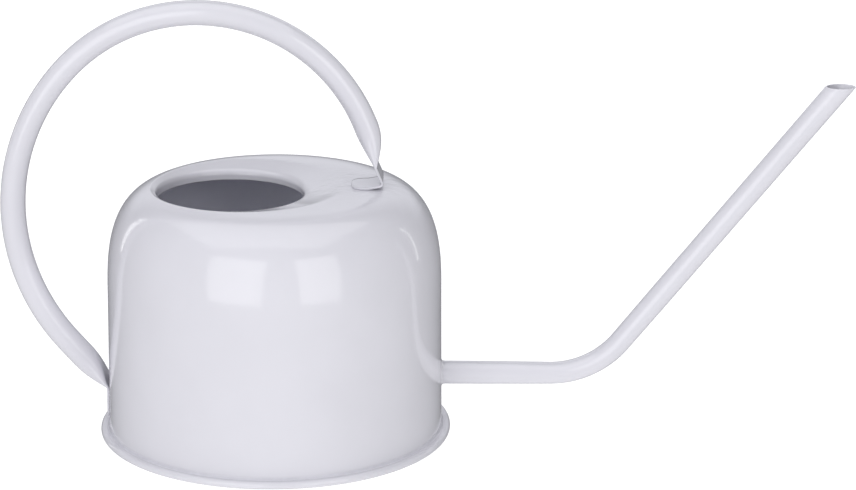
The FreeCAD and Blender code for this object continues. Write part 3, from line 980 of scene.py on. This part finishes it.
# ---------------------------------------------------------------- operators
class CAN_OT_bell(bpy.types.Operator):
    """Make the drawn bell with its dished filler mouth"""

    bl_idname = "watering_can.bell"
    bl_label = "Bell"

    def execute(self, context):
        can = settings()
        body = can.body
        pucker = (corner("top_strap_welds", LOW, X), 0.0, body.crown_height)
        outside = lacquered_steel(
            "lacquer on drawn bell", can.colours.lacquer, peel=1.1 * MM, pucker=pucker
        )
        lip_end = body.crown_height - body.mouth_dish - body.lip_depth
        sizes = {
            "Mouth offset": body.mouth_offset,
            "Mouth radius": body.mouth_radius,
            "Press limit": press_limit(body),
            "Press floor": lip_end - 0.5 * MM,
            "Flat radius": crown_radius(body),
            "Shoulder start": body.shoulder_start,
            "Shoulder width": body.shoulder_width,
            "Shoulder rise": body.crown_height - body.shoulder_start,
            "Shoulder power": body.shoulder_power,
            "Blend": body.dish_blend,
        }
        bell = spine_object("bell", bell_profile(body))
        inside = primed_inside(can.colours.inside)
        inputs = {"Segments": body.segments, "Material": outside, **sizes}
        baked(bell, bell_group(sizes), inputs, sheet=body.sheet, lining=inside)
        stand_in(bell, "lacquered_steel", "body_shell")
        return {"FINISHED"}


class CAN_OT_base(bpy.types.Operator):
    """Make the base plate with its rolled seam, and the compound that shows above it"""

    bl_idname = "watering_can.base"
    bl_label = "Base and seam"

    def execute(self, context):
        can = settings()
        steel = lacquered_steel(
            "lacquer on rolled seam", can.colours.lacquer, peel=1.1 * MM, wave=9 * MM
        )
        base = spine_object("base", plate_profile(can.body))
        baked(base, turned_group(), {"Segments": can.body.segments, "Material": steel})
        stand_in(base, "lacquered_steel", "base_plate")
        compound = sealing_compound(can.colours.sealant)
        seal = spine_object("seal", seal_profile(can.body))
        baked(seal, turned_group(), {"Segments": can.body.segments, "Material": compound})
        stand_in(seal, "sealing_compound", "seam_sealant")
        return {"FINISHED"}


class CAN_OT_spout(bpy.types.Operator):
    """Make the bent spout tube"""

    bl_idname = "watering_can.spout"
    bl_label = "Spout"

    def execute(self, context):
        can = settings()
        steel = lacquered_steel("lacquer on spout tube", can.colours.lacquer, wave=18 * MM)
        spout = bent_tube("spout", spout_spine(can.spout), can.spout.sides, 1.5, steel)
        stand_in(spout, "lacquered_steel", "spout_tube")
        return {"FINISHED"}


class CAN_OT_braze(bpy.types.Operator):
    """Make the ring of braze where the spout leaves the wall"""

    bl_idname = "watering_can.braze"
    bl_label = "Spout braze"

    def execute(self, context):
        can = settings()
        steel = lacquered_steel(
            "lacquer on braze", can.colours.lacquer,
            peel=0.8 * MM, wave=3 * MM, wave_height=0.12 * MM,
        )
        ring = braze_ring(can.body, can.spout)
        ring.data.materials.append(steel)
        stand_in(ring, "lacquered_braze", "spout_braze")
        return {"FINISHED"}


class CAN_OT_handle(bpy.types.Operator):
    """Make the hoop handle with its two pressed and folded straps"""

    bl_idname = "watering_can.handle"
    bl_label = "Handle"

    def execute(self, context):
        can = settings()
        steel = lacquered_steel("lacquer on handle tube", can.colours.lacquer, wave=16 * MM)
        spine = handle_spine(can.body, can.handle)
        handle = bent_tube("handle", spine, can.handle.sides, 3.0, steel)
        stand_in(handle, "lacquered_steel", "handle_tube")
        return {"FINISHED"}


class CAN_OT_welds(bpy.types.Operator):
    """Finish the spot welds under the straps"""

    bl_idname = "watering_can.welds"
    bl_label = "Spot welds"

    def execute(self, context):
        steel = weld_steel(settings().colours.weld)
        for node in ("top_strap_welds", "side_strap_welds"):
            dress(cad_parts[node], steel)
        return {"FINISHED"}


class CAN_OT_stage(bpy.types.Operator):
    """Set up the light table, the soft lights and the camera"""

    bl_idname = "watering_can.stage"
    bl_label = "Stage"

    def execute(self, context):
        scene = context.scene
        lay_table()
        light_room(scene)
        hang_lights()
        place_camera(scene)
        scene.view_settings.view_transform = "Standard"
        return {"FINISHED"}


# ---------------------------------------------------------------- stage
def lay_table():
    """A large round table top at the floor, which the can's lacquer doesn't mirror."""
    mesh = bmesh.new()
    bmesh.ops.create_circle(mesh, cap_ends=True, radius=6.0, segments=64)
    data = bpy.data.meshes.new("table")
    mesh.to_mesh(data)
    mesh.free()
    data.materials.append(opal_acrylic())
    table = linked("table", data)
    table.visible_glossy = False


def light_room(scene):
    """A room that is bright in front and dims to the sides, with a white backdrop behind."""
    world = bpy.data.worlds.new("studio")
    scene.world = world
    world.use_nodes = True
    tree = world.node_tree
    tree.nodes.clear()
    towards = add(tree, "ShaderNodeTexCoord").outputs["Generated"]
    across, back, up = add(tree, "ShaderNodeSeparateXYZ", {0: towards}).outputs
    # Each ramp: the axis, where it starts and ends, and its strength at the start and the end.
    ramps = {
        "right": (across, 0.1, 0.9, 1.0, 0.32),
        "left": (across, -0.95, -0.2, 0.6, 1.0),
        "depth": (back, 0.1, 0.9, 0.66, 0.2),
        "backdrop": (back, 0.7, 0.9, 0.0, 0.75),
        "above table": (up, 0.02, 0.22, 0.0, 1.0),
    }
    ramp = {}
    for name, (axis, start, end, first, last) in ramps.items():
        limits = {"From Min": start, "From Max": end, "To Min": first, "To Max": last}
        ramp[name] = add(tree, RAMP, {"Value": axis, **limits})
    sides = add(tree, MATH, {0: ramp["right"], 1: ramp["left"]}, operation="MINIMUM")
    room = add(tree, MATH, {0: sides, 1: ramp["depth"]}, operation="MULTIPLY")
    glow = {0: ramp["backdrop"], 1: ramp["above table"], 2: room}
    strength = add(tree, MATH, glow, operation="MULTIPLY_ADD")
    lit = add(tree, "ShaderNodeBackground", {"Color": linear("F2F3FA"), "Strength": strength})
    seen = add(tree, "ShaderNodeBackground", {"Color": linear("FFFFFF"), "Strength": 1.05})
    ray = add(tree, "ShaderNodeLightPath").outputs["Is Camera Ray"]
    mix = add(tree, "ShaderNodeMixShader", {0: ray, 1: lit, 2: seen})
    add(tree, "ShaderNodeOutputWorld", {"Surface": mix})


def hang_lights():
    """Two windows in front, a strip at each side, and a wide panel overhead."""
    aim = Vector((0, 0, 0.07))
    # Degrees round the can from the front towards the spout, distance and height in metres,
    # then width, height and watts.
    for name, azimuth, distance, height, *lamp in (
        ("front left window", -24, 1.8, 0.50, 1.28, 1.4, 8.8),
        ("front right window", 33.5, 1.8, 0.50, 0.95, 1.4, 6.6),
        ("left strip", -126, 1.5, 0.38, 0.12, 0.95, 0.75),
        ("right strip", 117, 1.5, 0.35, 0.05, 0.8, 0.35),
    ):
        turn = math.radians(azimuth)
        place = Vector((distance * math.sin(turn), -distance * math.cos(turn), height))
        soft_box(name, place, aim, *lamp)
    overhead = Vector((-0.2, -0.1, 2.2))
    soft_box("overhead panel", overhead, Vector((-0.2, -0.1, 0)), 3.2, 2.6, 24)


def soft_box(name, place, aim, width, height, watts):
    """A rectangular soft light that faces a point."""
    data = bpy.data.lights.new(name, "AREA")
    data.shape = "RECTANGLE"
    data.size = width
    data.size_y = height
    data.energy = watts
    light = linked(name, data)
    light.location = place
    light.rotation_euler = (place - aim).to_track_quat("Z", "Y").to_euler()


def place_camera(scene):
    """A long lens from the front, a little above the can."""
    data = bpy.data.cameras.new("camera")
    data.lens = 128.2
    data.sensor_width = 36.0
    target = Vector((65.44, 0, 82.82)) * MM
    distance = 1.3
    elevation = math.radians(17.0)
    camera = linked("camera", data)
    camera.location = target + distance * Vector((0, -math.cos(elevation), math.sin(elevation)))
    tilt = Matrix.Rotation(QUARTER - elevation, 4, "X")
    roll = Matrix.Rotation(math.radians(0.37), 4, "Z")
    camera.rotation_euler = (tilt @ roll).to_euler()
    scene.camera = camera


class CAN_PT_panel(bpy.types.Panel):
    """The watering can's pieces and sizes"""

    bl_idname = "CAN_PT_panel"
    bl_label = "Watering can"
    bl_space_type = "VIEW_3D"
    bl_region_type = "UI"
    bl_category = "Watering can"

    def draw(self, context):
        can = settings()
        for operator in OPERATORS:
            self.layout.operator(operator.bl_idname)
        for group in (can.body, can.spout, can.handle, can.colours):
            box = self.layout.box()
            for name in group.bl_rna.properties.keys():
                if name not in ("rna_type", "name"):
                    box.prop(group, name)


OPERATORS = (
    CAN_OT_bell, CAN_OT_base, CAN_OT_spout, CAN_OT_braze, CAN_OT_handle, CAN_OT_welds,
    CAN_OT_stage,
)
SETTINGS = (BodySizes, SpoutSizes, HandleSizes, CanColours, CanSettings)
CLASSES = SETTINGS + OPERATORS + (CAN_PT_panel,)


def register():
    """Registers the classes, and keeps the can's settings on the scene."""
    for cls in CLASSES:
        bpy.utils.register_class(cls)
    bpy.types.Scene.watering_can = PointerProperty(type=CanSettings)


def unregister():
    """Takes away what register added."""
    del bpy.types.Scene.watering_can
    for cls in reversed(CLASSES):
        bpy.utils.unregister_class(cls)


def main():
    """Builds the can and its stage."""
    register()
    bpy.ops.watering_can.bell()
    bpy.ops.watering_can.base()
    bpy.ops.watering_can.spout()
    bpy.ops.watering_can.braze()
    bpy.ops.watering_can.handle()
    bpy.ops.watering_can.welds()
    bpy.ops.watering_can.stage()


if __name__ == "__main__":
    main()
